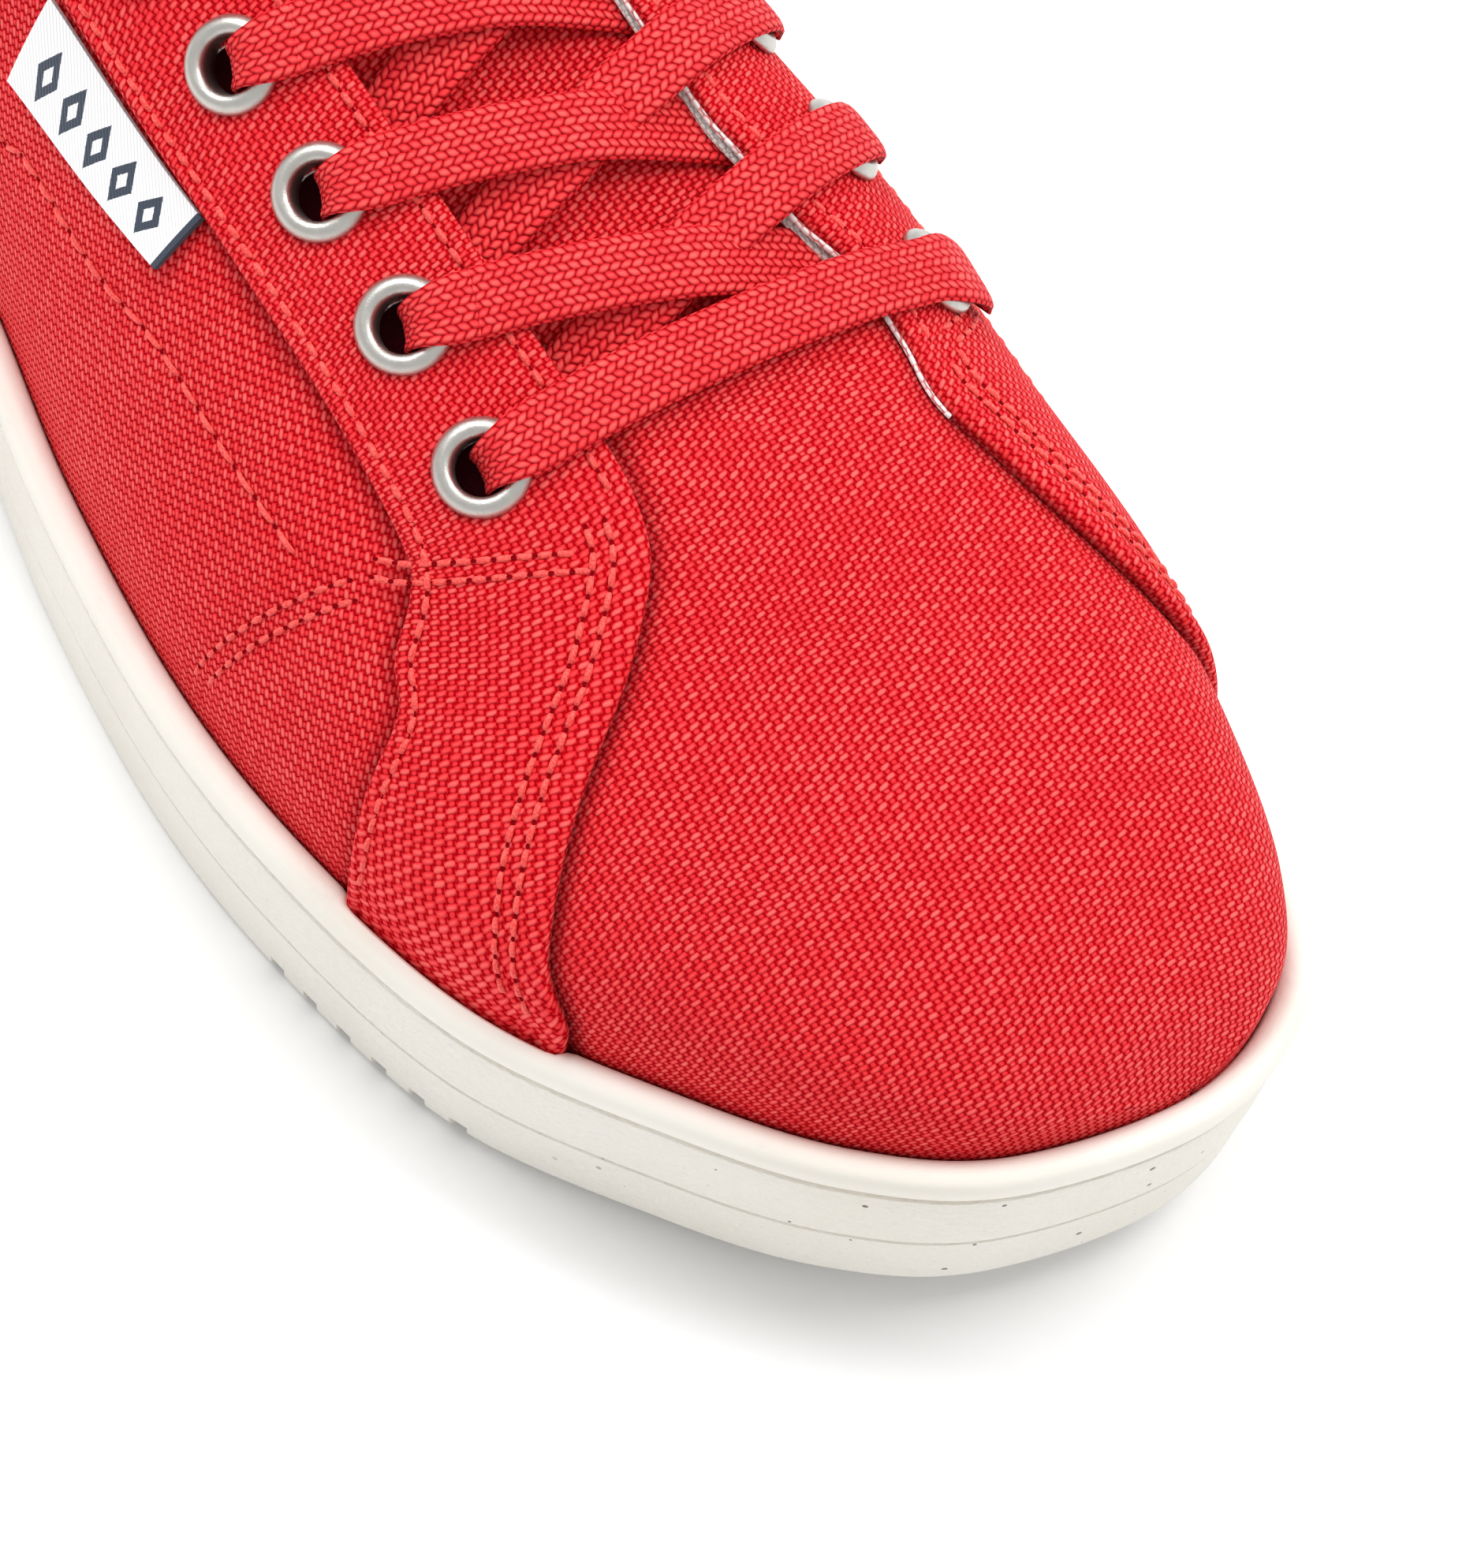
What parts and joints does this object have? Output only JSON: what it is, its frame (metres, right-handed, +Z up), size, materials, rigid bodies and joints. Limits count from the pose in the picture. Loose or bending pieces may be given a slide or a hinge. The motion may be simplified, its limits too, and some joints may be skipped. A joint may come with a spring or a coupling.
{
  "type": "canvas sneaker",
  "caption": "Low red canvas lace-up sneaker, right foot, on a smooth off-white rubber cupsole with satin metal eyelets and flat braided laces.",
  "frame": {"origin": "bottom centre of the shoe's bounding box, on the floor that it stands on", "axes": "+X towards the toe, +Y towards the medial (inner) side of the foot, +Z up"},
  "size_m": [0.2776, 0.1024, 0.1137],
  "materials": {
    "canvas": "coarse plain-weave cotton canvas, bright red, matt",
    "tongue_canvas": "the same red canvas, in shade",
    "lace": "flat braided red lace with a slight sheen",
    "cupsole": "off-white rubber, smooth rim over a fine-grained sidewall",
    "lining": "off-white cotton lining",
    "eyelet_metal": "satin nickel plate",
    "label_twill": "white woven twill tape with a plain dark pattern"
  },
  "bodies": {
    "root": {"cupsole": "cupsole", "upper": "canvas", "insole": "lining", "tongue": "tongue_canvas", "eyelet_lateral_1": "eyelet_metal", "eyelet_lateral_2": "eyelet_metal", "eyelet_lateral_3": "eyelet_metal", "eyelet_lateral_4": "eyelet_metal", "eyelet_lateral_5": "eyelet_metal", "eyelet_lateral_6": "eyelet_metal", "eyelet_medial_1": "eyelet_metal", "eyelet_medial_2": "eyelet_metal", "eyelet_medial_3": "eyelet_metal", "eyelet_medial_4": "eyelet_metal", "eyelet_medial_5": "eyelet_metal", "eyelet_medial_6": "eyelet_metal", "lace_bar": "lace", "lace_cross_1": "lace", "lace_cross_2": "lace", "lace_cross_3": "lace", "lace_cross_4": "lace", "lace_cross_5": "lace", "label": "label_twill"}
  },
  "joints": []
}
